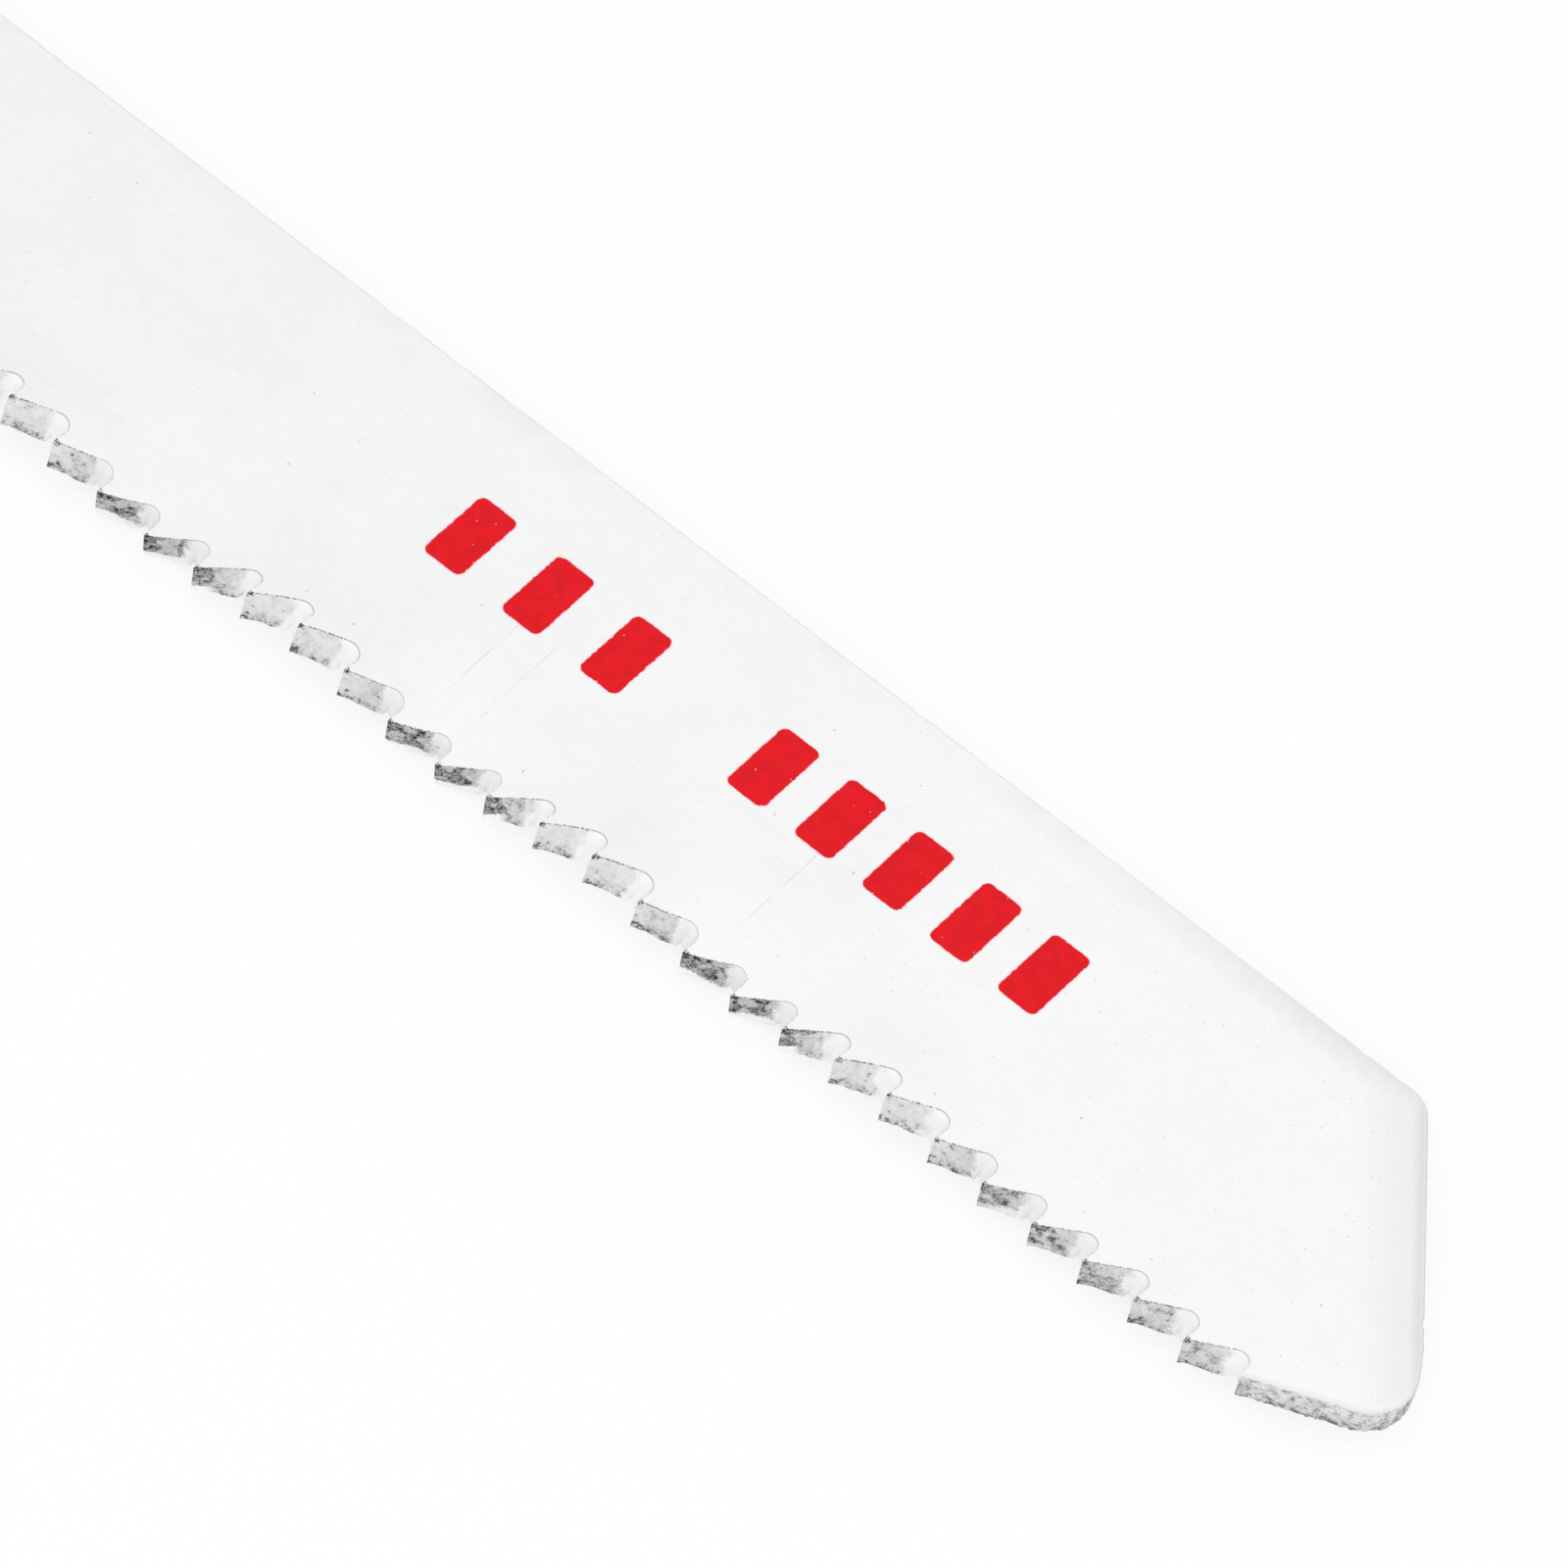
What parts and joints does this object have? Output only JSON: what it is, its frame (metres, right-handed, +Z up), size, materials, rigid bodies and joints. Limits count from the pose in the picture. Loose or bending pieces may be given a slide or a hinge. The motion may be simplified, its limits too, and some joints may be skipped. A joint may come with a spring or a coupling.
{
  "type": "jigsaw blade",
  "caption": "Coated jigsaw blade for metal with a bayonet shank, a fine wavy-set tooth row and a slanted nose with rounded corners.",
  "frame": {"origin": "on the lower face, on the shank's centre line, level with the front shoulders of the two lugs", "axes": "+X along the blade towards the tip, +Y towards the back edge with the teeth at -Y, +Z up out of the printed face"},
  "size_m": [0.092, 0.011, 0.0016],
  "materials": {
    "coated_steel": "semi-gloss white coating, worn to grey bare steel on the tooth flanks and the lead edge"
  },
  "bodies": {
    "root": {"blade": "coated_steel"}
  },
  "joints": []
}
